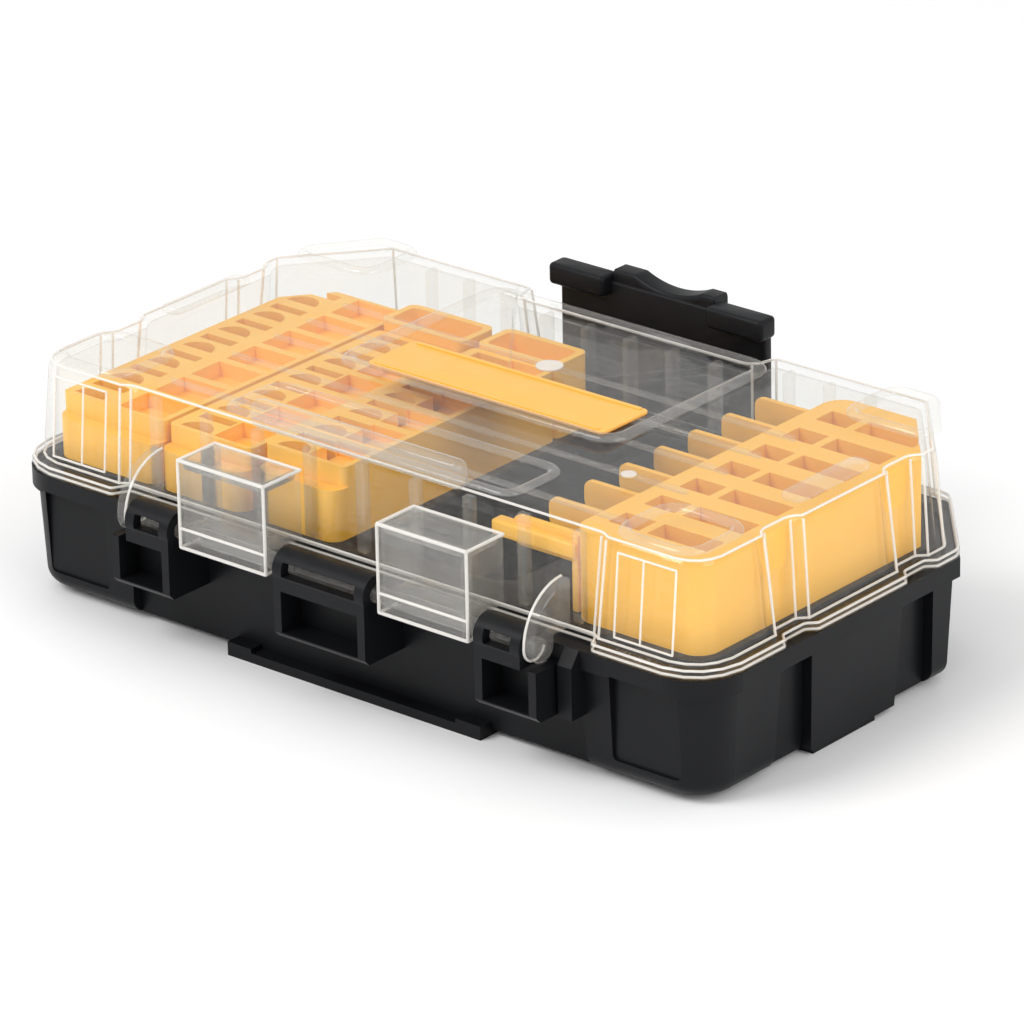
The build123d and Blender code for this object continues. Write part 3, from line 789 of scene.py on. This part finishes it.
plaque = [placed(plate_rows(*PLAQUE_SIZE, PLAQUE_HEIGHT, 2.0, 0.2),
                 (*PLAQUE_CENTER, LID_TOP + PLAQUE_HEIGHT / 2))]
for side in (-1, 1):
    edge = PLAQUE_CENTER[1] + side * (PLAQUE_SIZE[1] / 2 - LINE_WIDTH)
    line = plate_rows(PLAQUE_SIZE[0] - 2 * LINE_GAP, LINE_WIDTH, LINE_HEIGHT, 0.5, 0.12)
    plaque.append(placed(line, (PLAQUE_CENTER[0], edge, LID_TOP + PLAQUE_HEIGHT + LINE_LIFT)))
add_piece("lid_plaque", plaque, plaque_abs, "lid")

# %% [markdown]
# Clear plastic enters the mould near the middle of the top and leaves a frosted disc there.
# A smaller mark stands where an ejector pin pushed the lid out. Both are thin round plates
# on the top, with a finish that lets much less light straight through.

# %% Moulding marks
MARKS = [((0.0, 16.5), 3.6), ((61.0, -26.5), 2.0)]
MARK_HEIGHT = 0.5
mark_blocks = []
for (x, y), radius in MARKS:
    disc = plate_rows(2 * radius, 2 * radius, MARK_HEIGHT, radius, 0.12)
    mark_blocks.append(placed(disc, (x, y, LID_TOP + MARK_HEIGHT / 2)))
add_piece("lid_gate_marks", mark_blocks, frosted, "lid")

# %% [markdown]
# The latch is one black lever. Its thumb pad has a shallow scoop, so its height changes
# along X: a rounded section in the side view is carried along the pad while its top
# follows a circle. Shoulders on both sides, two hooks and two pins complete the lever.

# %% Latch
LATCH_FRONT, LATCH_BACK = 61.8, 65.0
LATCH_LOW, LATCH_TOP = 16.6, 69.4
LATCH_HALF = 34.0
LATCH_PIVOT = (63.4, 18.0)
PIN_X, PIN_LENGTH, PIN_DIAMETER = 36.5, 6.0, 4.0
SHOULDER = (18.5, 6.7, 5.8)
SHOULDER_PLACE = (26.2, 61.65, 68.4)
HOOK_Y, HOOK_Z, HOOK_HEIGHT = 59.8, 53.8, 2.2
PAD_HALF, PAD_LOW, PAD_TOP = 16.6, 60.0, 72.4
PAD_FRONT, PAD_BACK = 62.4, 68.6
PAD_STEPS = 33
SCOOP_DEPTH, SCOOP_RADIUS, SCOOP_X = 2.4, 26.0, 1.5


def thumb_pad():
    """Rounded section carried along X; its top drops along a circle to form the scoop."""
    section = rounded_outline(1.0, 1.0, 0.16)
    reach = np.concatenate([[0.0], np.ones(PAD_STEPS), [0.0]])
    x = np.concatenate([[-PAD_HALF], np.linspace(-PAD_HALF, PAD_HALF, PAD_STEPS), [PAD_HALF]])
    dip = SCOOP_RADIUS - SCOOP_DEPTH - np.sqrt(SCOOP_RADIUS ** 2 - (x - SCOOP_X) ** 2)
    top = PAD_TOP + np.minimum(dip, 0)
    rows = []
    for place, height, size in zip(x, top, reach):
        y = (PAD_FRONT + PAD_BACK) / 2 + section[:, 0] * (PAD_BACK - PAD_FRONT) * size
        z = (PAD_LOW + height) / 2 + section[:, 1] * (height - PAD_LOW) * size
        rows.append(np.column_stack([np.full(len(section), place), y, z]))
    return np.stack(rows) * MM


latch_height = LATCH_TOP - LATCH_LOW
lever = plate_rows(2 * LATCH_HALF, latch_height, LATCH_BACK - LATCH_FRONT, 1.2, 0.8)
lever_place = (0, (LATCH_FRONT + LATCH_BACK) / 2, LATCH_LOW + latch_height / 2)
latch_blocks = [thumb_pad(), placed(lever, lever_place, (1, 0, 0), (0, 0, 1), (0, -1, 0))]
shoulder_x, *shoulder_yz = SHOULDER_PLACE
pin = plate_rows(PIN_DIAMETER, PIN_DIAMETER, PIN_LENGTH, 1.98, 0.2)
for sign in (-1, 1):
    latch_blocks.append(placed(plate_rows(*SHOULDER, 1.4, 1.1), (sign * shoulder_x, *shoulder_yz)))
    latch_blocks.append(slab(sign * HOOK_X, HOOK_Y, HOOK_Z, (HOOK_LENGTH, HOOK_DEPTH, HOOK_HEIGHT)))
    latch_blocks.append(placed(pin, (sign * PIN_X, *LATCH_PIVOT), (0, 1, 0), (0, 0, 1), (1, 0, 0)))
latch_lever = add_piece("latch_lever", latch_blocks, latch_abs, "latch")
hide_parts("latch")

# %% [markdown]
# The comb beside the tall rack is a row of thin plates with rounded ends on a spine, and a
# rounded bar across the front. Seen from above, each plate shows a bright top edge over a
# face in shade.

# %% Finger comb
FINGERS = 8
FINGER_PITCH = 13.64
COMB_LEFT, COMB_RIGHT = 43.0, 64.8
FINGER_TOP = 57.0
FINGER_HEIGHT = 8.0
FINGER_THICKNESS = 1.4
SPINE = (2.0, 100.0, 20.3)
SPINE_Z = 46.8
BAR_LEFT, BAR_SIDE = 38.0, 4.2
BAR_Y, BAR_Z = -50.0, 53.0
fingers = []
for i in range(FINGERS):
    y = MIDDLE_Y + (i - (FINGERS - 1) / 2) * FINGER_PITCH
    rows = plate_rows(COMB_RIGHT - COMB_LEFT, FINGER_HEIGHT, FINGER_THICKNESS, 2.6, 0.2)
    fingers.append(placed(rows, ((COMB_LEFT + COMB_RIGHT) / 2, y, FINGER_TOP - FINGER_HEIGHT / 2),
                          (1, 0, 0), (0, 0, 1), (0, -1, 0)))
spine = slab(COMB_RIGHT - SPINE[0] / 2, MIDDLE_Y, SPINE_Z, SPINE)
bar_size = (COMB_RIGHT - BAR_LEFT, BAR_SIDE, BAR_SIDE)
front_bar = slab((BAR_LEFT + COMB_RIGHT) / 2, BAR_Y, BAR_Z, bar_size)
comb = add_piece("finger_comb_plates", fingers + [spine, front_bar], yellow_abs, "base")
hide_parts("finger_comb")

# %% [markdown]
# The floor is plain pale paper. Light comes from a large soft box high on the left, a
# weaker one on the right, and a bright sky all round, which the clear lid needs: it looks
# clear because it shows the bright surroundings.

# %% Floor
FLOOR_HALF = 3.0
floor_mesh = bpy.data.meshes.new("floor")
corners = [(-FLOOR_HALF, -FLOOR_HALF, 0), (FLOOR_HALF, -FLOOR_HALF, 0),
           (FLOOR_HALF, 2 * FLOOR_HALF, 0), (-FLOOR_HALF, 2 * FLOOR_HALF, 0)]
floor_mesh.from_pydata(corners, [], [(0, 1, 2, 3)])
floor = bpy.data.objects.new("floor", floor_mesh)
bpy.context.scene.collection.objects.link(floor)
floor_material, tree, shader = new_material("floor_paper")
shader.inputs["Base Color"].default_value = linear("#F4F4F4")
shader.inputs["Roughness"].default_value = 0.7
floor_mesh.materials.append(floor_material)
print("floor", 2 * FLOOR_HALF, "m wide")

# %% Light
LAMP_SIZE = 0.9
SKY_STRENGTH = 0.8
AIM = (0, 0, 0.03)
world = bpy.data.worlds.new("studio")
bpy.context.scene.world = world
world.use_nodes = True
sky = world.node_tree.nodes["Background"]
sky.inputs["Color"].default_value = (1, 1, 1, 1)
sky.inputs["Strength"].default_value = SKY_STRENGTH
bpy.context.scene.view_settings.view_transform = "Standard"


def soft_box(name, place, power):
    """A square area light at a place, aimed at the middle of the case."""
    data = bpy.data.lights.new(name, "AREA")
    data.size = LAMP_SIZE
    data.energy = power
    lamp = bpy.data.objects.new(name, data)
    bpy.context.scene.collection.objects.link(lamp)
    lamp.location = place
    aim = Vector(AIM) - Vector(place)
    lamp.rotation_euler = aim.to_track_quat("-Z", "Y").to_euler()
    return lamp


soft_box("key_light", (-0.6, -1.2, 1.4), 18)
soft_box("fill_light", (1.4, -0.2, 0.9), 8)
print("lights", [lamp.name for lamp in bpy.data.lights])
